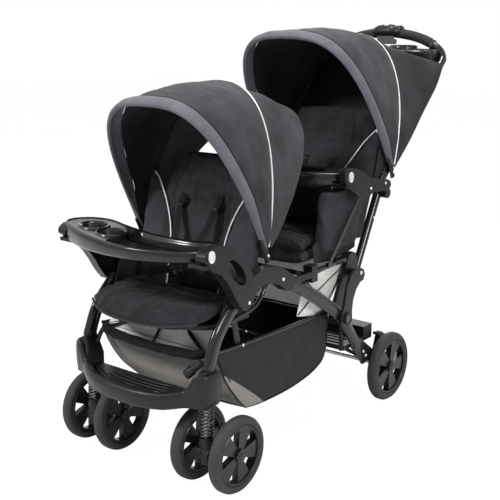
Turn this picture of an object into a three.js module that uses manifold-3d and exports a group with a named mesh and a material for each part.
// Sit and stand stroller: a tandem pushchair with two seats, a fold at the rear legs and sprung front casters.
// Millimetres, +Z up, the children face -Y, left is +X. Side outlines are (y, z) from the front axle on the floor.
import * as THREE from 'three'
import { mergeVertices } from 'three/addons/utils/BufferGeometryUtils.js'
import Module from 'manifold-3d'

const wasm = await Module()
wasm.setup()

// Driving dimensions
const gap = 0.3 // between pieces that touch
const running = 0.4 // between pieces that turn or slide
const overrun = 2 // past a face, for cuts
const wheelbase = 741
const trackHalf = 257
const frontTyre = { radius: 97.65, width: 32.6, depth: 20, sides: 26 }
const rearTyre = { radius: 104.5, width: 32.6, depth: 21, sides: 26 }
const rimSize = { band: 7, hub: 17, boss: 8, cap: 5, spoke: 18, base: 25, tip: 8, wall: 24, spokes: 5,
  firstAngle: 68 }
const axleRadius = 7
const outerLane = { inner: 217, outer: 245 } // side mouldings
const legLane = { inner: 216.7, outer: 236.7 } // rear legs
const innerLane = { inner: 189.5, outer: 214.5 } // handle tubes
const foldPivot = { y: 515, z: 312, pin: 9 }
const seatPivot = { y: 591, z: 470, pin: 5 }
const armPivot = { y: 739, z: 636, pin: 6, lug: 15 }
const strutFoot = { y: 465, z: 474 }

// Shape helpers
const lerp = (a, b, share) => a + (b - a) * share
const place = (frame, shares) => shares.map(([a, b]) => [frame.y + a * frame.length,
  frame.z + b * frame.height])

function toSolid(geometry) {
  const bare = geometry.clone()
  for (const name of Object.keys(bare.attributes)) if (name !== 'position') bare.deleteAttribute(name)
  const merged = mergeVertices(bare, 1e-4)
  const index = merged.index ? merged.index.array : Uint32Array.from({ length: merged.attributes.position.count }, (_, i) => i)
  return new wasm.Manifold(new wasm.Mesh({
    numProp: 3,
    vertProperties: new Float32Array(merged.attributes.position.array),
    triVerts: new Uint32Array(index),
  }))
}

function toGeometry(solid) {
  const mesh = solid.getMesh()
  const geometry = new THREE.BufferGeometry()
  geometry.setAttribute('position', new THREE.BufferAttribute(new Float32Array(mesh.vertProperties), 3))
  geometry.setIndex(new THREE.BufferAttribute(new Uint32Array(mesh.triVerts), 1))
  return geometry
}

const join = (first, ...rest) => toGeometry(rest.reduce((sum, piece) => sum.add(toSolid(piece)),
  toSolid(first)))
const cut = (first, ...tools) => toGeometry(tools.reduce((sum, piece) => sum.subtract(toSolid(piece)),
  toSolid(first)))

function mirrored(geometry) {
  const copy = geometry.index ? geometry.toNonIndexed() : geometry.clone()
  const p = copy.attributes.position
  const flipped = new Float32Array(p.count * 3)
  for (let i = 0; i < p.count; i += 3) {
    ;[0, 2, 1].forEach((from, to) => {
      flipped[(i + to) * 3] = -p.getX(i + from)
      flipped[(i + to) * 3 + 1] = p.getY(i + from)
      flipped[(i + to) * 3 + 2] = p.getZ(i + from)
    })
  }
  const result = new THREE.BufferGeometry()
  result.setAttribute('position', new THREE.BufferAttribute(flipped, 3))
  return mergeVertices(result, 1e-4)
}

const sideOf = (geometry, side) => (side > 0 ? geometry : mirrored(geometry))

// A closed body from a list of equal rings, with fan ends
function loft(rings) {
  const count = rings[0].length
  const points = rings.flat()
  const faces = []
  for (let i = 0; i < rings.length - 1; i++) {
    for (let j = 0; j < count; j++) {
      const a = i * count + j
      const b = i * count + ((j + 1) % count)
      faces.push(a, b, b + count, a, b + count, a + count)
    }
  }
  for (const [ring, flip] of [[0, true], [rings.length - 1, false]]) {
    const middle = points.length
    points.push(rings[ring].reduce((sum, p) => sum.add(p), new THREE.Vector3()).divideScalar(count))
    for (let j = 0; j < count; j++) {
      const a = ring * count + j
      const b = ring * count + ((j + 1) % count)
      faces.push(...(flip ? [middle, b, a] : [middle, a, b]))
    }
  }
  return outward(points, faces)
}

// A body between two equal grids of points, closed round its four edges
function shell(outer, inner) {
  const rows = outer.length
  const columns = outer[0].length
  const points = [...outer.flat(), ...inner.flat()]
  const under = rows * columns
  const at = (i, j) => i * columns + j
  const faces = []
  for (let i = 0; i < rows - 1; i++) {
    for (let j = 0; j < columns - 1; j++) {
      const [a, b, c, d] = [at(i, j), at(i, j + 1), at(i + 1, j + 1), at(i + 1, j)]
      faces.push(a, b, c, a, c, d, under + a, under + c, under + b, under + a, under + d, under + c)
    }
  }
  const edge = []
  for (let j = 0; j < columns - 1; j++) edge.push(at(0, j))
  for (let i = 0; i < rows - 1; i++) edge.push(at(i, columns - 1))
  for (let j = columns - 1; j > 0; j--) edge.push(at(rows - 1, j))
  for (let i = rows - 1; i > 0; i--) edge.push(at(i, 0))
  edge.forEach((a, k) => {
    const b = edge[(k + 1) % edge.length]
    faces.push(a, under + b, b, a, under + a, under + b)
  })
  return outward(points, faces)
}

// Turns the faces so that the body's volume is positive
function outward(points, faces) {
  let volume = 0
  for (let i = 0; i < faces.length; i += 3) {
    const [a, b, c] = [points[faces[i]], points[faces[i + 1]], points[faces[i + 2]]]
    volume += a.dot(new THREE.Vector3().crossVectors(b, c))
  }
  const order = volume > 0 ? faces : faces.map((_, i) => faces[i - (i % 3) + [0, 2, 1][i % 3]])
  const geometry = new THREE.BufferGeometry().setFromPoints(points)
  geometry.setIndex(order)
  return geometry
}

// A profile of (radius, x) points turned round the x axis
function lathe(profile, sides) {
  const geometry = new THREE.LatheGeometry(profile, sides).rotateZ(-Math.PI / 2)
  for (const name of ['normal', 'uv']) geometry.deleteAttribute(name)
  const merged = mergeVertices(geometry, 1e-4)
  const p = merged.attributes.position
  const points = Array.from({ length: p.count }, (_, i) => new THREE.Vector3().fromBufferAttribute(p, i))
  const faces = Array.from(merged.index.array)
  const whole = []
  for (let i = 0; i < faces.length; i += 3) {
    const [a, b, c] = faces.slice(i, i + 3)
    if (a !== b && b !== c && c !== a) whole.push(a, b, c)
  }
  return outward(points, whole)
}

// A section swept along points: wide is its half size across the path's plane, tall in the plane
function sweep(points, wide, tall = wide, sides = 8) {
  const path = points.map((p) => new THREE.Vector3(...p))
  const along = path.map((p, i) => {
    const before = path[Math.max(i - 1, 0)]
    const after = path[Math.min(i + 1, path.length - 1)]
    const into = p.clone().sub(before).normalize()
    const out = after.clone().sub(p).normalize()
    return into.add(out).normalize()
  })
  let across = Math.abs(along[0].x) < 0.9 ? new THREE.Vector3(1, 0, 0) : new THREE.Vector3(0, 0, 1)
  const rings = path.map((p, i) => {
    across = across.clone().addScaledVector(along[i], -across.dot(along[i])).normalize()
    const up = new THREE.Vector3().crossVectors(along[i], across)
    const next = path[Math.min(i + 1,
      path.length - 1)].clone().sub(path[i === path.length - 1 ? i - 1 : i]).normalize()
    const mitre = 1 / Math.max(along[i].dot(next), 0.5)
    return Array.from({ length: sides }, (_, k) => {
      const angle = (k / sides) * Math.PI * 2
      return p.clone()
        .addScaledVector(across, Math.cos(angle) * wide)
        .addScaledVector(up, Math.sin(angle) * tall * (sides > 5 ? mitre : 1))
    })
  })
  return loft(rings)
}

// A plate with a (y, z) outline between two x values, with holes
function plate(outline, x0, x1, holes = []) {
  const shape = new THREE.Shape(outline.map(([y, z]) => new THREE.Vector2(y, z)))
  for (const hole of holes) shape.holes.push(new THREE.Path(hole.map(([y, z]) => new THREE.Vector2(y, z))))
  const geometry = new THREE.ExtrudeGeometry(shape, { depth: x1 - x0, bevelEnabled: false })
  const turn = new THREE.Matrix4().set(0, 0, 1, x0, 1, 0, 0, 0, 0, 1, 0, 0, 0, 0, 0, 1)
  return geometry.applyMatrix4(turn)
}

// A body with an (x, y) outline between two z values
function prism(outline, z0, z1) {
  const shape = new THREE.Shape(outline.map(([x, y]) => new THREE.Vector2(x, y)))
  return new THREE.ExtrudeGeometry(shape, { depth: z1 - z0, bevelEnabled: false }).translate(0, 0, z0)
}

const block = (x0, x1, y0, y1, z0, z1) => prism([[x0, y0], [x1, y0], [x1, y1], [x0, y1]], z0, z1)

const circle = (y, z, radius, sides = 12) => Array.from({ length: sides }, (_, k) => {
  const angle = (k / sides) * Math.PI * 2
  return [y + Math.cos(angle) * radius, z + Math.sin(angle) * radius]
})

const rod = (x0, x1, at, radius, sides = 12) => plate(circle(at.y, at.z, radius, sides), x0, x1)

function post(x, y, z0, z1, radius, sides = 12) {
  return prism(circle(x, y, radius, sides), z0, z1)
}

// A band of even width round a line of (y, z) points, with round ends
function band(line, half, steps = 5) {
  const left = []
  const right = []
  line.forEach(([y, z], i) => {
    const [y0, z0] = line[Math.max(i - 1, 0)]
    const [y1, z1] = line[Math.min(i + 1, line.length - 1)]
    const long = Math.hypot(y1 - y0, z1 - z0)
    const [ny, nz] = [-(z1 - z0) / long, (y1 - y0) / long]
    left.push([y + ny * half, z + nz * half])
    right.push([y - ny * half, z - nz * half])
  })
  const cap = ([y, z], [fromY, fromZ]) => Array.from({ length: steps }, (_, k) => {
    const angle = Math.atan2(fromZ - z, fromY - y) - ((k + 1) / (steps + 1)) * Math.PI
    return [y + Math.cos(angle) * half, z + Math.sin(angle) * half]
  })
  return [...left, ...cap(line.at(-1), left.at(-1)), ...right.reverse(), ...cap(line[0], right.at(-1))]
}

function rounded(points, perSpan = 3) {
  const curve = new THREE.CatmullRomCurve3(points.map(([a, b]) => new THREE.Vector3(a, b, 0)), true,
    'centripetal')
  return curve.getPoints(points.length * perSpan).slice(0, -1).map((p) => [p.x, p.y])
}

// Materials
const paint = (color, roughness, metalness = 0) => new THREE.MeshStandardMaterial({ color, roughness,
  metalness })
const plastic = paint(0x1c1c1f, 0.42)
const glossPlastic = paint(0x141416, 0.2)
const blackTube = paint(0x161618, 0.3, 0.5)
const steel = paint(0xb9bcc2, 0.3, 0.9)
const rubber = paint(0x36353a, 0.75)
const foam = paint(0x19191b, 0.9)
const blackCloth = paint(0x232328, 0.9)
const greyCloth = paint(0x4d4a53, 0.9)
const silverPlastic = paint(0xd8d9dc, 0.3, 0.4)
const greyPlastic = paint(0x4a4a4e, 0.4)

const stroller = new THREE.Group()
const parts = new THREE.Group()
stroller.add(parts)

function add(name, geometry, material, x = 0, y = 0, z = 0) {
  const mesh = new THREE.Mesh(geometry, material)
  mesh.name = name
  mesh.position.set(x, y, z)
  parts.add(mesh)
  return geometry
}

// Wheels: a tyre ring round a rim with five triangular paddle spokes
function tyre(size) {
  const half = size.width / 2
  const inner = size.radius - size.depth
  const profileShares = [[0, 0.8], [0.6, 1], [1, 0.4], [1, -0.4], [0.6, -1], [0, -0.8]]
  const profile = profileShares.map(([rise, across]) => new THREE.Vector2(inner + rise * size.depth,
    across * half))
  return lathe([...profile, profile[0].clone()], size.sides)
}

function rim(size, outwards) {
  const edge = size.radius - size.depth - gap
  const half = rimSize.wall / 2
  const hubHalf = size.width / 2
  const boreRadius = axleRadius + running
  const ring = [[edge - rimSize.band, -half], [edge, -half], [edge, half], [edge - rimSize.band, half]]
  const hub = [[0, hubHalf], [rimSize.hub, hubHalf], [rimSize.hub, -hubHalf], [boreRadius, -hubHalf],
    [boreRadius, hubHalf - rimSize.cap], [0, hubHalf - rimSize.cap]]
  const turned = (points, sides) => lathe(points.map(([r, h]) => new THREE.Vector2(r, h)), sides)
  const root = rimSize.boss
  const pieces = [turned(hub, 12)]
  for (let k = 0; k < rimSize.spokes; k++) {
    const reach = edge - rimSize.band
    const outline = [[root, -rimSize.tip], [reach, -rimSize.base], [reach, rimSize.base],
      [root, rimSize.tip]]
    const spoke = plate(outline, -rimSize.spoke / 2,
      rimSize.spoke / 2).rotateX(THREE.MathUtils.degToRad(rimSize.firstAngle + k * (360 / rimSize.spokes)))
    pieces.push(cut(spoke, rod(-half, half, { y: 0, z: 0 }, boreRadius + overrun, 12)))
  }
  const wheel = join(turned([...ring, ring[0]], size.sides), ...pieces)
  return outwards > 0 ? wheel : mirrored(wheel)
}

function addWheel(name, size, x, y, outwards) {
  add(`${name}_tyre`, tyre(size), rubber, x, y, size.radius)
  add(`${name}_rim`, rim(size, outwards), plastic, x, y, size.radius)
}

// Front casters: a stem that turns in the leg's socket, a fork that slides up it against a spring, and two wheels
const caster = { x: 196.3, spread: 60.7, trail: 40, sleeve: 18, sleeveBottom: 74, sleeveTop: 141,
  sleeveFloor: 80, arm: 14.4, hub: 12.8 }
const stem = { radius: 8, bottom: 96, collar: 20, collarThick: 8, seat: 221, inSocket: 56 }
const springSize = { wire: 4.4, radius: 15.6, curls: 9, steps: 8, sides: 5 }
const socket = { x0: 175, x1: 222, y0: -84, y1: -12, z0: 229.4, z1: 318, shoulderShare: 0.45 }
const boreSize = stem.radius + running

function springPath(size, z0, z1) {
  const points = [[size.radius, 0, z0], [size.radius, 0, z0 + size.wire]]
  const total = size.curls * size.steps
  const rise = z1 - z0 - size.wire * 2
  for (let k = 1; k < total; k++) {
    const angle = (k / size.steps) * Math.PI * 2
    points.push([Math.cos(angle) * size.radius, Math.sin(angle) * size.radius,
      z0 + size.wire + (k / total) * rise])
  }
  points.push([size.radius, 0, z1 - size.wire], [size.radius, 0, z1])
  return points
}

function leastSpringGap(points, wire, steps) {
  let least = Infinity
  points.forEach((p, i) => {
    for (let j = i + Math.ceil(steps / 2); j < points.length; j++) {
      const q = points[j]
      least = Math.min(least, Math.hypot(p[0] - q[0], p[1] - q[1], p[2] - q[2]) - wire)
    }
  })
  return least
}

const springLine = springPath(springSize, caster.sleeveTop + gap, stem.seat - gap)
console.log(`spring's least gap to itself: ${leastSpringGap(springLine, springSize.wire, springSize.steps).toFixed(2)} mm`)

for (const [label, side] of [['left', 1], ['right', -1]]) {
  const x = caster.x * side
  add(`caster_stem_${label}`, join(
    post(0, 0, stem.bottom, socket.z0 + stem.inSocket, stem.radius),
    post(0, 0, stem.seat, stem.seat + stem.collarThick, stem.collar),
  ), steel, x, -caster.trail, 0)
  const wheelGap = caster.spread - frontTyre.width / 2 - running
  const axleEnd = caster.spread + frontTyre.width / 2 - rimSize.cap - running
  const fork = join(
    post(0, -caster.trail, caster.sleeveBottom, caster.sleeveTop, caster.sleeve, 20),
    plate(band([[-caster.trail, frontTyre.radius], [0, frontTyre.radius]], caster.sleeve), -caster.arm,
      caster.arm),
    rod(-wheelGap, wheelGap, { y: 0, z: frontTyre.radius }, caster.hub),
    rod(-axleEnd, axleEnd, { y: 0, z: frontTyre.radius }, axleRadius),
  )
  add(`caster_fork_${label}`, cut(fork, post(0, -caster.trail, caster.sleeveFloor,
    caster.sleeveTop + overrun, boreSize)), plastic, x)
  add(`caster_spring_${label}`, sweep(springLine, springSize.wire / 2, springSize.wire / 2,
    springSize.sides), steel, x, -caster.trail, 0)
  addWheel(`front_outer_wheel_${label}`, frontTyre, (caster.x + caster.spread) * side, 0, side)
  addWheel(`front_inner_wheel_${label}`, frontTyre, (caster.x - caster.spread) * side, 0, -side)
  addWheel(`rear_wheel_${label}`, rearTyre, trackHalf * side, wheelbase, side)
}
const axleReach = trackHalf + rearTyre.width / 2 - rimSize.cap - running
const rearAxle = { y: wheelbase, z: rearTyre.radius }
add('rear_axle', rod(-axleReach, axleReach, rearAxle, axleRadius), steel)

// Front armrests and side arches share their sizes with the front legs, which end in the arches
const frontArm = { y: -99, z: 452, length: 189, height: 176, holeTurn: -0.88, archShare: 0.81418 }
const frontHoleShares = { along: 0.62963, up: 0.5625, long: 0.2526, wide: 0.104 }
const arch = { y: frontArm.y + frontArm.length * frontArm.archShare, z: 448, length: 181.16, height: 92,
  half: 22 }
const legTopSet = { back: 5.12, above: 10 }
const legTop = { y: arch.y + legTopSet.back, z: arch.z + legTopSet.above }

// Front legs: an oval tube that stands in a moulded caster socket
const frontLeg = { x: 205.6, wide: 10.8, tall: 20, collarWide: 11.7, collarTall: 23, y: -43, z: 245,
  length: 103, height: 213 }
const frontLegShares = [[0, 0.08], [0, 0.258], [0.068, 0.427], [0.214, 0.592], [0.369, 0.714],
  [0.563, 0.817], [0.786, 0.92]]
const frontLegLine = [...place(frontLeg, frontLegShares), [legTop.y, legTop.z]]

function ovalRing(x, y, halfX, halfY, z, sides = 12, power = 0.6) {
  return Array.from({ length: sides }, (_, k) => {
    const angle = (k / sides) * Math.PI * 2
    const bend = (value) => Math.sign(value) * Math.abs(value) ** power
    return new THREE.Vector3(x + halfX * bend(Math.cos(angle)), y + halfY * bend(Math.sin(angle)), z)
  })
}

for (const [label, side] of [['left', 1], ['right', -1]]) {
  const middleX = (socket.x0 + socket.x1) / 2
  const middleY = (socket.y0 + socket.y1) / 2
  const halfX = (socket.x1 - socket.x0) / 2
  const halfY = (socket.y1 - socket.y0) / 2
  const shoulder = lerp(socket.z0, socket.z1, socket.shoulderShare)
  const cup = loft([
    ovalRing(middleX, middleY, halfX, halfY, socket.z0),
    ovalRing(middleX, middleY, halfX, halfY, shoulder),
    ovalRing(frontLeg.x, frontLeg.y, frontLeg.collarWide, frontLeg.collarTall, socket.z1),
  ])
  const tube = sweep(frontLegLine.map(([y, z]) => [frontLeg.x, y, z]), frontLeg.wide, frontLeg.tall, 12)
  const bore = post(caster.x, -caster.trail, socket.z0 - overrun, socket.z0 + stem.inSocket + overrun,
    boreSize)
  add(`front_leg_${label}`, sideOf(cut(join(cup, tube), bore), side), plastic)
}

// Footrest between the sockets, with a raised front lip and grip ribs
const footrest = { front: -151, sideFront: -90, rear: -30, bottom: 230, deck: 245, lip: 256, lipWidth: 14,
  rib: 3, ribWidth: 5, ribs: 3, ribPitch: 13, ribFrom: 4.1 }
footrest.half = socket.x0 - gap

function footEdge(inset, steps = 6) {
  return Array.from({ length: steps + 1 }, (_, k) => {
    const x = lerp(-footrest.half, footrest.half, k / steps)
    return [x, lerp(footrest.front, footrest.sideFront, (x / footrest.half) ** 2) + inset]
  })
}

const footStrip = (inset, width, z0, z1) => prism([...footEdge(inset),
  ...footEdge(inset + width).reverse()], z0, z1)
add('footrest', join(
  prism([...footEdge(0), [footrest.half, footrest.rear], [-footrest.half, footrest.rear]], footrest.bottom,
    footrest.deck),
  footStrip(0, footrest.lipWidth, footrest.deck - overrun, footrest.lip),
  ...Array.from({ length: footrest.ribs },
    (_, k) => footStrip(footrest.lipWidth + footrest.ribFrom + footrest.ribPitch * k,
    footrest.ribWidth, footrest.deck - overrun, footrest.deck + footrest.rib)),
), plastic)

// Rear legs: one bowed oval tube each, with the axle plate and the fold pivot's bore
const rearLeg = { wide: 10, tall: 18.5, plateInset: 1.5, y: 248, z: 120, length: 418, height: 356,
  plateHalf: 19 }
const rearLegShares = [[0, 1], [0.124, 0.927], [0.232, 0.854], [0.402, 0.733], [0.531, 0.632],
  [0.639, 0.539],
  [0.718, 0.427], [0.842, 0.247], [0.962, 0.07]]
const rearLegLine = place(rearLeg, rearLegShares)
const legX = (legLane.inner + legLane.outer) / 2
const legTube = (extra) => sweep(rearLegLine.map(([y, z]) => [legX, y, z]), rearLeg.wide + extra,
  rearLeg.tall + extra, 10)
const legPlate = plate(band([rearLegLine.at(-2), [rearAxle.y, rearAxle.z]], rearLeg.plateHalf),
  legLane.inner + rearLeg.plateInset, legLane.outer - rearLeg.plateInset)
for (const [label, side] of [['left', 1], ['right', -1]]) {
  add(`rear_leg_${label}`, sideOf(cut(
    join(legTube(0), legPlate),
    rod(legLane.inner - overrun, legLane.outer + overrun, foldPivot, foldPivot.pin + running),
    rod(legLane.inner - overrun, legLane.outer + overrun, rearAxle, axleRadius + gap),
  ), side), blackTube)
}

// Side arches: from the front leg over to the rear leg, with the fold latch box on a link behind
const archShares = [[0, 0.239], [0.09428, 0.478], [0.23184, 0.663], [0.41422, 0.761],
  [0.60742, 0.728], [0.80062, 0.587], [1, 0.326]]
const archLine = place(arch, archShares)
const latch = { y0: 335, y1: 362, z0: 455, z1: 500, linkHalf: 8, linkThick: 6 }
const latchMiddle = [(latch.y0 + latch.y1) / 2, (latch.z0 + latch.z1) / 2]
const archSolid = cut(join(
  plate(band(archLine, arch.half), outerLane.inner, outerLane.outer),
  plate(band([archLine.at(-1), latchMiddle], latch.linkHalf), outerLane.outer - latch.linkThick,
    outerLane.outer),
  block(outerLane.inner, outerLane.outer, latch.y0, latch.y1, latch.z0, latch.z1),
), legTube(gap))
for (const [label, side] of [['left', 1], ['right', -1]]) add(`side_arch_${label}`, sideOf(archSolid, side),
  plastic)

// Rear step: the deck that the older child stands on, its rear bar, and the posts and braces that carry it
const step = { y0: 556, y1: 706, z0: 198, z1: 212, barDepth: 48, barTop: 242, half: 216.4, rib: 3 }
const stepPost = { x: 207, y: 550, radius: 7, top: 284 }
const brace = { x: 188, radius: 6 }
const braceLine = (x) => [[x, step.y0 + brace.radius * 2, step.z0 + brace.radius],
  [x, rearAxle.y, rearAxle.z]]
const deckRibs = 5
const stepPieces = [block(-step.half, step.half, step.y1 - step.barDepth, step.y1, step.z0, step.barTop)]
for (let k = 0; k < deckRibs; k++) {
  const y = lerp(step.y0, step.y1 - step.barDepth, (k + 0.5) / deckRibs)
  stepPieces.push(block(-innerLane.inner, innerLane.inner, y - step.rib, y + step.rib, step.z1 - overrun,
    step.z1 + step.rib))
}
for (const side of [1, -1]) {
  stepPieces.push(post(stepPost.x * side, stepPost.y, step.z0, stepPost.top, stepPost.radius))
  stepPieces.push(sweep(braceLine(brace.x * side), brace.radius))
}
const stepDeck = block(-step.half, step.half, step.y0 - stepPost.radius, step.y1, step.z0, step.z1)
add('rear_step', cut(join(stepDeck, ...stepPieces), rod(-trackHalf, trackHalf, rearAxle, axleRadius + gap)),
  plastic)

// Foot brakes: a lever round the axle inside each rear leg
const brake = { x0: 198, x1: 215.6, sleeve: 15, arm: 9, tipY: 771, tipZ: 188, padHalf: 20, padThick: 5,
  boreGap: 0.6 }
const tipDirection = [brake.tipY - rearAxle.y, brake.tipZ - rearAxle.z]
for (const [label, side] of [['left', 1], ['right', -1]]) {
  const padLine = [[brake.tipY - brake.padHalf,
    brake.tipZ + brake.padHalf * tipDirection[0] / tipDirection[1]],
    [brake.tipY + brake.padHalf, brake.tipZ - brake.padHalf * tipDirection[0] / tipDirection[1]]]
  add(`brake_pedal_${label}`, sideOf(cut(join(
    rod(brake.x0, brake.x1, rearAxle, brake.sleeve),
    plate(band([[rearAxle.y, rearAxle.z], [brake.tipY, brake.tipZ]], brake.arm), brake.x0, brake.x1),
    plate(band(padLine, brake.padThick), brake.x0, brake.x1),
  ), rod(brake.x0 - overrun, brake.x1 + overrun, rearAxle, axleRadius + brake.boreGap)), side), plastic)
}

// Handle: one tube from bracket to bracket over the top, with the fold bracket at each foot
const handle = { x: 202, radius: 12.5, footY: 619, footZ: 410, bendY: 757, bendZ: 672, topY: 1100,
  topZ: 990 }
const hoop = { y: 1122, rise: 98, leadShares: [0.75, 0.13] }
const hoopShares = [[0.985, 0.231], [0.95, 0.385], [0.886, 0.519], [0.782, 0.654], [0.644, 0.779],
  [0.47, 0.875],
  [0.297, 0.942], [0.149, 0.981]]
const bendShare = 0.06
const handleSide = [
  [handle.x, handle.footY, handle.footZ],
  [handle.x, lerp(handle.bendY, handle.footY, bendShare), lerp(handle.bendZ, handle.footZ, bendShare)],
  [handle.x, lerp(handle.bendY, handle.topY, bendShare), lerp(handle.bendZ, handle.topZ, bendShare)],
  [handle.x, handle.topY, handle.topZ],
  [handle.x, lerp(handle.topY, hoop.y, hoop.leadShares[0]),
    lerp(handle.topZ, handle.topZ + hoop.rise, hoop.leadShares[1])],
]
const hoopSide = hoopShares.map(([a, b]) => [a * handle.x, hoop.y, handle.topZ + b * hoop.rise])
const flip = (points) => points.map(([x, y, z]) => [-x, y, z]).reverse()
const hoopTop = [0, hoop.y, handle.topZ + hoop.rise]
const handleLine = [...handleSide, ...hoopSide, hoopTop, ...flip(hoopSide), ...flip(handleSide)]
const handleTube = sweep(handleLine, handle.radius, handle.radius, 8)
const armBore = rod(handle.x - handle.radius / 2, handle.x + handle.radius * 2, armPivot,
  armPivot.pin + running)
add('handle_tube', cut(handleTube, armBore, mirrored(armBore)), blackTube)

const grip = { wall: 3.2, from: 3 }
const gripLine = [...hoopSide.slice(grip.from), hoopTop, ...flip(hoopSide.slice(grip.from))]
const tubeRoom = sweep(handleLine, handle.radius + gap)
const gripSkin = sweep(gripLine, handle.radius + grip.wall)
add('handle_grip', cut(gripSkin, tubeRoom), foam)

const bracket = { y: 485, z: 283, length: 121, height: 163, x0: 238, x1: 246, cap: 17, capThick: 5,
  spacer: 12 }
const bracketShares = [[0.124, 0.018], [0.025, 0.104], [0, 0.202], [0.05, 0.313], [0.124, 0.411],
  [0.231, 0.748], [0.388, 0.939],
  [0.554, 1], [0.793, 1], [0.95, 0.939], [1, 0.84], [0.934, 0.755], [0.785, 0.736], [0.62, 0.632],
    [0.504, 0.472],
  [0.463, 0.288], [0.479, 0.104], [0.355, 0.018], [0.24, 0]]
const spacerAt = { y: 590, z: 424 }
const innerPlate = { y: 487, z: 286, length: 160, height: 200, x0: 199.5, x1: 212 }
const innerPlateShares = [[0.175, 0], [0.062, 0.04], [0.013, 0.13], [0.056, 0.23], [0.456, 0.845],
  [0.537, 0.97], [0.644, 1],
  [0.744, 0.97], [0.8, 0.91], [0.844, 0.77], [0.819, 0.595], [0.706, 0.55], [0.6, 0.58], [0.362, 0.23],
  [0.331, 0.07], [0.269, 0.015]]
const footShare = -0.03
const footStart = [handle.x, lerp(handle.footY, handle.bendY, footShare),
  lerp(handle.footZ, handle.bendZ, footShare)]
const footRoom = sweep([footStart, handleSide[1]], (handle.radius + gap) / Math.cos(Math.PI / 8))
const bracketSolid = cut(join(
  plate(place(bracket, bracketShares), bracket.x0, bracket.x1),
  rod(bracket.x1 - overrun, bracket.x1 + bracket.capThick, foldPivot, bracket.cap, 20),
  rod(innerPlate.x0, bracket.x0 + overrun, foldPivot, foldPivot.pin),
  rod(innerPlate.x1 - overrun, bracket.x0 + overrun, spacerAt, bracket.spacer),
  plate(place(innerPlate, innerPlateShares), innerPlate.x0, innerPlate.x1),
), footRoom, rod(innerPlate.x0 - overrun, innerPlate.x1 + overrun, seatPivot, seatPivot.pin + running))
for (const [label, side] of [['left', 1], ['right', -1]]) add(`fold_bracket_${label}`,
  sideOf(bracketSolid, side), plastic)

// Handle console with the fold trigger and its lock button
const consoleSet = { front: 24, under: 20 }
const consoleSize = { half: 52, y: hoop.y - consoleSet.front, z: hoopTop[2] - consoleSet.under,
  length: 49, height: 44 }
const consoleShares = [[0, 0.15], [0, 0.75], [0.3, 1], [0.75, 0.95], [1, 0.6], [1, 0.2], [0.7, 0], [0.3, 0]]
const consoleTop = consoleSize.z + consoleSize.height
const triggerSet = { front: 18, back: 6, under: 38, top: 12 }
const trigger = { half: 30, y0: hoop.y - triggerSet.front, y1: hoop.y + triggerSet.back,
  z0: hoopTop[2] - triggerSet.under, z1: hoopTop[2] - triggerSet.top, travel: 7 }
const buttonSet = { front: 14, back: 4 }
const lockButton = { half: 9, y0: hoop.y - buttonSet.front, y1: hoop.y + buttonSet.back, depth: 8,
  proud: 3 }
const gripRoom = sweep(gripLine, handle.radius + grip.wall + gap)
const pulledRoom = sweep(gripLine.map(([x, y, z]) => [x, y, z - trigger.travel]),
  handle.radius + grip.wall + gap)
const triggerRoom = block(-trigger.half - running, trigger.half + running, trigger.y0 - running,
  trigger.y1 + running,
  trigger.z0 - trigger.travel, trigger.z1 + trigger.travel)
const buttonRoom = block(-lockButton.half - running, lockButton.half + running, lockButton.y0 - running,
  lockButton.y1 + running,
  consoleTop - lockButton.depth, consoleTop + overrun)
add('fold_console', cut(plate(rounded(place(consoleSize, consoleShares)), -consoleSize.half,
  consoleSize.half),
  gripRoom, triggerRoom, buttonRoom), plastic)
add('fold_trigger', cut(block(-trigger.half, trigger.half, trigger.y0, trigger.y1, trigger.z0, trigger.z1),
  pulledRoom, gripRoom), greyPlastic)
add('lock_button', block(-lockButton.half, lockButton.half, lockButton.y0, lockButton.y1,
  consoleTop - lockButton.depth + lockButton.proud + gap, consoleTop + lockButton.proud), silverPlastic)

// Parent tray between the handle tubes, with two cups
const parentSet = { front: 52, back: 50, above: 2, height: 42, cupSet: 2 }
const parentTray = { half: innerLane.inner - gap, y0: handle.topY - parentSet.front,
  y1: handle.topY + parentSet.back, z0: handle.topZ + parentSet.above,
  z1: handle.topZ + parentSet.above + parentSet.height, cupX: 72,
  cupY: handle.topY - parentSet.cupSet, cup: 38, floor: 5, well: 30 }
const parentShares = [[0.76, 0], [1, 0.12], [1, 0.75], [0.76, 0.92], [0.52, 1]]
const parentHalf = parentShares.map(([a, b]) => [a * parentTray.half,
  lerp(parentTray.y0, parentTray.y1, b)])
const parentOutline = [...parentHalf, ...parentHalf.map(([x, y]) => [-x, y]).reverse()]
const parentCups = [1, -1].map((side) => post(parentTray.cupX * side, parentTray.cupY,
  parentTray.z0 + parentTray.floor,
  parentTray.z1 + overrun, parentTray.cup, 24))
const wellHalf = parentTray.cupX - parentTray.cup - parentTray.floor
const parentWell = block(-wellHalf, wellHalf, parentTray.y0 + parentTray.floor * 2,
  parentTray.y1 - parentTray.floor * 2,
  parentTray.z1 - parentTray.well, parentTray.z1 + overrun)
add('parent_tray', cut(prism(parentOutline, parentTray.z0, parentTray.z1), ...parentCups, parentWell,
  tubeRoom), glossPlastic)

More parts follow.
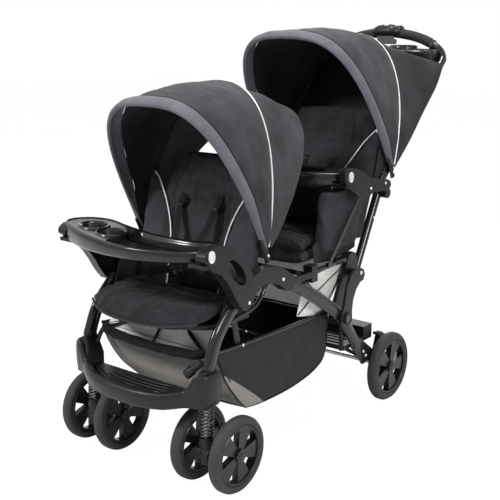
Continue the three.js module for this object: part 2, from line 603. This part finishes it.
// Armrests and snack trays: each tray swings on a pin in the right armrest and locks at the left one
const armLane = { inner: legLane.inner, outer: legLane.outer }
const frontArmShares = [[0, 0.847], [0.011, 0.926], [0.101, 0.977], [0.228, 1], [0.418, 0.972],
  [0.614, 0.881], [0.815, 0.67],
  [0.958, 0.455], [1, 0.301], [0.937, 0.102], [0.815, 0], [0.683, 0.074], [0.513, 0.352], [0.317, 0.602],
    [0.148, 0.682], [0.074, 0.79]]
const rearArm = { y: 499, z: 644, length: 256, height: 91 }
const rearArmShares = [[0, 0.813], [0.016, 0.989], [0.137, 1], [0.305, 0.879], [0.523, 0.582],
  [0.707, 0.473], [0.859, 0.407],
  [0.973, 0.308], [1, 0.154], [0.938, 0.022], [0.785, 0.033], [0.645, 0.066], [0.492, 0], [0.324, 0.011],
    [0.215, 0.209],
  [0.07, 0.429], [0.012, 0.615]]
const button = { halfY: 9, halfZ: 13, headHalfY: 11, headHalfZ: 15, proud: 3, travel: 3, stem: 20 }
const tray = { half: 213, depth: 178, thick: 26, cup: 31, cupDepth: 20, well: 18, ledge: 9, ledgeDepth: 36,
  ledgeReach: 9.8, pin: 7, pinX: 203 }
const frontTray = { y: -146, z: 590, pinY: 68, buttonY: -78, buttonZ: 609 }
const rearTray = { y: 457, z: 690, pinY: 68, buttonY: 525, buttonZ: 711 }

function ellipse(y, z, long, wide, turn = 0, sides = 12) {
  return Array.from({ length: sides }, (_, k) => {
    const angle = (k / sides) * Math.PI * 2
    const [a, b] = [Math.cos(angle) * long, Math.sin(angle) * wide]
    return [y + a * Math.cos(turn) - b * Math.sin(turn), z + a * Math.sin(turn) + b * Math.cos(turn)]
  })
}

function armExtras(lane, at, side) {
  const pieces = [block(tray.pinX - tray.ledgeReach, lane.outer - overrun,
    at.y + at.pinY - tray.ledgeDepth / 2, at.y + at.pinY + tray.ledgeDepth / 2,
    at.z - gap - tray.ledge, at.z - gap)]
  if (side < 0) pieces.push(post(tray.pinX, at.y + at.pinY, at.z - gap - overrun, at.z + tray.thick / 2,
    tray.pin))
  return pieces
}

function buttonBore(lane, at) {
  return plate(ellipse(at.buttonY, at.buttonZ, button.halfY + running, button.halfZ + running),
    lane.outer - button.stem - button.travel, lane.outer + overrun)
}

function buttonSolid(lane, at) {
  return join(
    plate(ellipse(at.buttonY, at.buttonZ, button.halfY, button.halfZ), lane.outer - button.stem + gap,
      lane.outer + button.travel + overrun),
    plate(ellipse(at.buttonY, at.buttonZ, button.headHalfY, button.headHalfZ),
      lane.outer + button.travel + gap, lane.outer + button.travel + button.proud),
  )
}

for (const [label, side] of [['left', 1], ['right', -1]]) {
  const archRoom = plate(band(archLine, arch.half + gap), outerLane.inner - overrun,
    outerLane.outer + overrun)
  const frontPlate = plate(rounded(place(frontArm, frontArmShares), 2), outerLane.inner, outerLane.outer,
    [place(frontArm, ellipse(frontHoleShares.along, frontHoleShares.up, frontHoleShares.long,
      frontHoleShares.wide, frontArm.holeTurn))])
  const frontSolid = cut(join(frontPlate, ...armExtras(outerLane, frontTray, side)), archRoom,
    buttonBore(outerLane, frontTray))
  add(`front_armrest_${label}`, sideOf(frontSolid, side), plastic)
  const rearPlate = plate(rounded(place(rearArm, rearArmShares), 2), armLane.inner, armLane.outer)
  const armPin = rod(handle.x - handle.radius / 2 + running, armLane.inner + overrun, armPivot,
    armPivot.pin)
  const armLug = rod(armLane.inner, armLane.outer, armPivot, armPivot.lug)
  const rearSolid = cut(join(rearPlate, armLug, armPin, ...armExtras(armLane, rearTray, side)),
    buttonBore(armLane, rearTray))
  add(`rear_armrest_${label}`, sideOf(rearSolid, side), plastic)
  add(`front_tray_button_${label}`, sideOf(buttonSolid(outerLane, frontTray), side), silverPlastic)
  add(`rear_tray_button_${label}`, sideOf(buttonSolid(armLane, rearTray), side), silverPlastic)
}

const trayFrontShares = [[0, 0], [0.22, 0.012], [0.42, 0.075], [0.62, 0.16], [0.8, 0.27], [0.93, 0.4],
  [0.99, 0.56], [0.97, 0.75],
  [0.94, 0.92], [0.9, 1], [0.78, 0.98], [0.66, 0.9], [0.52, 0.84], [0.3, 0.8], [0, 0.79]]
const cupShares = [[-0.62, 0.52], [-0.22, 0.36]]
const wellShares = [[0.06, 0.2], [0.5, 0.24], [0.66, 0.46], [0.6, 0.7], [0.06, 0.66]]

function traySolid(at) {
  const half = trayFrontShares.map(([a, b]) => [a * tray.half, at.y + b * tray.depth])
  const outline = [...half, ...half.slice(1, -1).map(([x, y]) => [-x, y]).reverse()]
  const top = at.z + tray.thick
  const cups = cupShares.map(([a, b]) => post(a * tray.half, at.y + b * tray.depth,
    top - tray.cupDepth, top + overrun, tray.cup, 20))
  const well = prism(wellShares.map(([a, b]) => [a * tray.half, at.y + b * tray.depth]), top - tray.well,
    top + overrun)
  const pinBore = post(-tray.pinX, at.y + at.pinY, at.z - overrun, at.z + tray.thick / 2 + running,
    tray.pin + running)
  return cut(prism(outline, at.z, top), ...cups, well, pinBore)
}

add('front_tray', traySolid(frontTray), glossPlastic)
add('rear_tray', traySolid(rearTray), glossPlastic)

// Rear seat's frame: side rails from the brackets to the latch boxes, cross tubes under the seat, struts up to the armrests
const rail = { x: 205, radius: 7.6, frontY: 352, frontZ: 462, stopShare: 0.86, tabX0: 192.5, tabX1: 199.1,
  tab: 13, crossRadius: 7, hook: 4.5, hookSet: 9, crossIn: 33, crossUnder: 3, crossBack: 48,
  crossLow: 6 }
const railDirection = [seatPivot.y - rail.frontY, seatPivot.z - rail.frontZ]
const railEnd = [rail.frontY + railDirection[0] * rail.stopShare,
  rail.frontZ + railDirection[1] * rail.stopShare]
const crossAt = [{ y: rail.frontY + rail.crossIn, z: rail.frontZ - rail.crossUnder },
  { y: seatPivot.y - rail.crossBack, z: seatPivot.z - rail.crossLow }]
const strutPin = 4
const framePieces = []
for (const side of [1, -1]) {
  framePieces.push(sweep([[rail.x * side, rail.frontY, rail.frontZ],
    [rail.x * side, railEnd[0], railEnd[1]]], rail.radius))
  const tab = plate(band([[railEnd[0] - rail.tab * 2, railEnd[1]], [seatPivot.y, seatPivot.z]], rail.tab),
    rail.tabX0, rail.tabX1)
  const pin = rod(rail.tabX0 + gap, innerPlate.x1, seatPivot, seatPivot.pin)
  const hook = rod(rail.x, outerLane.inner - running, { y: rail.frontY + rail.hookSet, z: rail.frontZ },
    rail.hook)
  framePieces.push(sideOf(tab, side), sideOf(pin, side), sideOf(hook, side))
}
const crossTubes = crossAt.map((at) => rod(-rail.x, rail.x, at, rail.crossRadius, 8))
const strutBores = [1, -1].map((side) => sideOf(rod(rail.x, rail.x + rail.radius + overrun, strutFoot,
  strutPin + running), side))
add('rear_seat_frame', cut(join(framePieces[0], crossTubes[0], ...framePieces.slice(1),
  ...crossTubes.slice(1)), ...strutBores), blackTube)

const strut = { x0: 213.1, x1: 216.3, half: 7 }
const strutHead = { y: strutFoot.y + armPivot.y - seatPivot.y, z: strutFoot.z + armPivot.z - seatPivot.z }
const strutSolid = join(
  plate(band([[strutFoot.y, strutFoot.z], [strutHead.y, strutHead.z]], strut.half), strut.x0, strut.x1),
  rod(rail.x + running, strut.x0 + gap, strutFoot, strutPin),
)
for (const [label, side] of [['left', 1], ['right', -1]]) add(`rear_strut_${label}`,
  sideOf(strutSolid, side), steel)

// Cushions: crowned, with sides drawn in between the corners and sewn channels across
const fillShares = { edge: 0.12, rim: 0.78, under: 0.9, channel: 0.07, channelDepth: 0.2, draw: 0.03 }
function cushion(size) {
  const steps = 8
  const roundness = (value) => Math.sqrt(Math.max(0, 1 - value ** 6))
  const grid = (face) => Array.from({ length: steps + 1 },
    (_, i) => Array.from({ length: steps + 1 }, (_, j) => {
    const [u, v] = [(i / steps) * 2 - 1, (j / steps) * 2 - 1]
    const drawnX = 1 - fillShares.draw * (1 - v * v)
    const drawnY = 1 - fillShares.draw * (1 - u * u)
    const fill = lerp(fillShares.edge, 1, roundness(u) * roundness(v))
    const crown = lerp(fillShares.rim, 1, Math.cos(u * Math.PI / 2) * Math.cos(v * Math.PI / 2))
    const dip = size.channelShares.reduce((sum,
      at) => sum + Math.exp(-(((v - at) / fillShares.channel) ** 2)), 0)
    const top = 1 - dip * fillShares.channelDepth * roundness(u)
    const height = (size.thick / 2) * fill * crown * (face > 0 ? top : fillShares.under)
    return new THREE.Vector3(u * (size.width / 2) * drawnX, v * (size.length / 2) * drawnY, face * height)
  }))
  return shell(grid(1), grid(-1))
}

const board = { half: frontLeg.x - frontLeg.wide - gap, y0: -60, y1: 148.9, z0: 398, z1: 410, sillY0: 140,
  sillHalf: 153, sillTop: 455 }
add('front_seat_board', join(
  block(-board.half, board.half, board.y0, board.y1, board.z0, board.z1),
  block(-board.sillHalf, board.sillHalf, board.sillY0, board.y1, board.z0, board.sillTop),
), plastic)
const frontPad = { width: 380, length: 246, thick: 46, channelShares: [-0.2, 0.35], y: 14, bearShare: 1 }
const padLift = (pad, floor) => floor + gap + (pad.thick / 2) * fillShares.under * pad.bearShare
add('front_seat_pad', cushion(frontPad), blackCloth, 0, frontPad.y, padLift(frontPad, board.z1))

function leaning(pad) {
  const angle = THREE.MathUtils.degToRad(pad.lean)
  const centre = pad.length / 2
  return cushion(pad).rotateX(angle).translate(0, pad.y + Math.cos(angle) * centre,
    pad.z + Math.sin(angle) * centre)
}

const frontBack = { width: 300, length: 352, thick: 44, channelShares: [-0.45, 0.05, 0.5], lean: 79,
  y: 151.3, z: 452 }
add('front_seat_back', leaning(frontBack), blackCloth)

const rearPad = { width: 330, length: 208, thick: 42, channelShares: [-0.1], y: 486, bearShare: 0.9 }
const crossTop = Math.max(...crossAt.map((at) => at.z)) + rail.crossRadius
add('rear_seat_pad', cushion(rearPad), blackCloth, 0, rearPad.y, padLift(rearPad, crossTop))
const rearBack = { width: 378.4, length: 392, thick: 40, channelShares: [-0.4, 0.1, 0.55], lean: 65.6,
  y: 672.5, z: 512 }
add('rear_seat_back', leaning(rearBack), blackCloth)

// Canopies: thin shells over bows that turn about a hub; every bow is a superellipse in a plane through the hub
function bowPoint(hub, width, bow, t, inset) {
  const angle = THREE.MathUtils.degToRad(bow.angle)
  const x = Math.sign(Math.cos(t)) * (width - inset) * Math.abs(Math.cos(t)) ** (2 / bow.power)
  const reach = (bow.reach - inset) * Math.sin(t) ** (2 / bow.power)
  return new THREE.Vector3(x, hub.y + reach * Math.cos(angle), hub.z + reach * Math.sin(angle))
}

function between(a, b, share) {
  const mix = (key) => lerp(a[key], b[key], share)
  return { angle: mix('angle'), reach: mix('reach'), power: mix('power') }
}

function canopy(hub, width, bows) {
  const columns = 12
  const rows = 2
  const grid = (inset) => {
    const rings = []
    for (let b = 0; b < bows.length - 1; b++) {
      for (let r = b ? 1 : 0; r <= rows; r++) {
        const bow = between(bows[b], bows[b + 1], r / rows)
        rings.push(Array.from({ length: columns + 1 }, (_, k) => {
          const share = k / columns
          const first = Math.asin(startShare ** (bow.power / 2))
          const t = lerp(first, Math.PI - first, share)
          return bowPoint(hub, width, bow, t, inset)
        }))
      }
    }
    return rings
  }
  return shell(grid(0), grid(cloth))
}

const cloth = 3
const hubDisc = { radius: 30, thick: 3 }
const startShare = 0.05
const frontHub = { y: 178, z: 556 }
const rearHub = { y: 785, z: 692 }
const frontOuter = outerLane.inner - gap
const discs = (hub, x1) => [1, -1].map((side) => sideOf(rod(x1 - hubDisc.thick, x1, hub, hubDisc.radius,
  16), side))

const frontRearBows = [{ angle: 76.4, reach: 419, power: 2.3 }, { angle: 62, reach: 436, power: 2.25 },
  { angle: 46, reach: 470, power: 2.2 }]
const movingWidth = frontOuter - hubDisc.thick - running * 2
const frontFrontBows = [{ angle: 118.6, reach: 427, power: 3.2 }, { angle: 105.8, reach: 398, power: 2.6 },
  { angle: 90, reach: 402, power: 2.4 }, { angle: 78.4, reach: 419, power: 2.3 }]
add('front_canopy_rear', join(canopy(frontHub, frontOuter, frontRearBows), ...discs(frontHub, frontOuter)),
  blackCloth)
add('front_canopy_front', join(canopy(frontHub, movingWidth, frontFrontBows),
  ...discs(frontHub, movingWidth)), greyCloth)

const tubeSide = handle.x + handle.radius + gap + cloth
const rearRearBows = [{ angle: 69.5, reach: 409, power: 2.2 }, { angle: 61, reach: 416, power: 3.4 },
  { angle: 53, reach: 424, power: 7 }]
const rearMoving = tubeSide + hubDisc.thick + running * 2
const rearFrontBows = [{ angle: 120, reach: 450, power: 3.6 }, { angle: 100.5, reach: 408, power: 2.7 },
  { angle: 85, reach: 404, power: 2.4 }, { angle: 71.5, reach: 411, power: 2.2 }]
const skirt = { y: 800, z: 690, length: 320, height: 330 }
const skirtShares = [[0, 0.1], [0.2, 0.095], [0.34, 0.155], [0.46, 0.33], [0.7, 0.54], [0.81, 0.61],
  [1, 0.77],
  [0.93, 0.86], [0.5, 0.83], [0.05, 0.21]]
const skirts = [1, -1].map((side) => sideOf(plate(place(skirt, skirtShares), tubeSide - cloth, tubeSide),
  side))
add('rear_canopy_rear', join(canopy(rearHub, tubeSide, rearRearBows), ...discs(rearHub, tubeSide),
  ...skirts), blackCloth)
add('rear_canopy_front', join(canopy(rearHub, rearMoving, rearFrontBows), ...discs(rearHub, rearMoving)),
  greyCloth)

// Basket: an open bag hung between the front legs and the fold pivots
const basket = { half: 194.5, taper: 8, wall: 4, top: 344, bottom: 166, frontTop: -40, frontBottom: 146,
  rearTop: 478, rearBottom: 484,
  sag: 18, corner: 6, lowCorner: 24, frontPower: 0.7 }

function basketRing(share, inset) {
  const y0 = lerp(basket.frontTop, basket.frontBottom, share ** basket.frontPower) + inset
  const y1 = lerp(basket.rearTop, basket.rearBottom, share) - inset
  const half = basket.half - inset - basket.taper * share
  const corner = lerp(basket.corner, basket.lowCorner, share)
  const side = [[half, y0 + corner], [half, lerp(y0, y1, 1 / 3)], [half, lerp(y0, y1, 2 / 3)],
    [half, y1 - corner], [half - corner, y1]]
  const outline = [...side, [0, y1], ...side.map(([x, y]) => [-x, y]).reverse(), [corner - half, y0],
    [0, y0], [half - corner, y0]]
  return outline.map(([x, y]) => new THREE.Vector3(x, y, lerp(basket.top, basket.bottom, share)))
}

const levels = [0, 0.25, 0.5, 0.75, 1]
const outsideRings = levels.map((share) => basketRing(share, 0))
const insideRings = levels.map((share) => basketRing(share, basket.wall))
insideRings.at(-1).forEach((p) => p.setZ(p.z + basket.wall))
insideRings[0].forEach((p) => p.setZ(p.z + overrun))
const bellyShare = 0.6
const belly = (ring) => {
  const centre = ring.reduce((sum, p) => sum.add(p.clone()), new THREE.Vector3()).divideScalar(ring.length)
  return ring.map((p) => p.clone().lerp(centre, bellyShare).setZ(p.z - basket.sag))
}
const basketSolid = cut(
  loft([...outsideRings, belly(outsideRings.at(-1))]),
  loft([...insideRings, belly(insideRings.at(-1))]),
)
add('basket', basketSolid, greyCloth)

// The origin is the middle of the footprint on the floor
const bounds = new THREE.Box3().setFromObject(parts)
parts.position.set(0, -(bounds.min.y + bounds.max.y) / 2, -bounds.min.z)

export default stroller
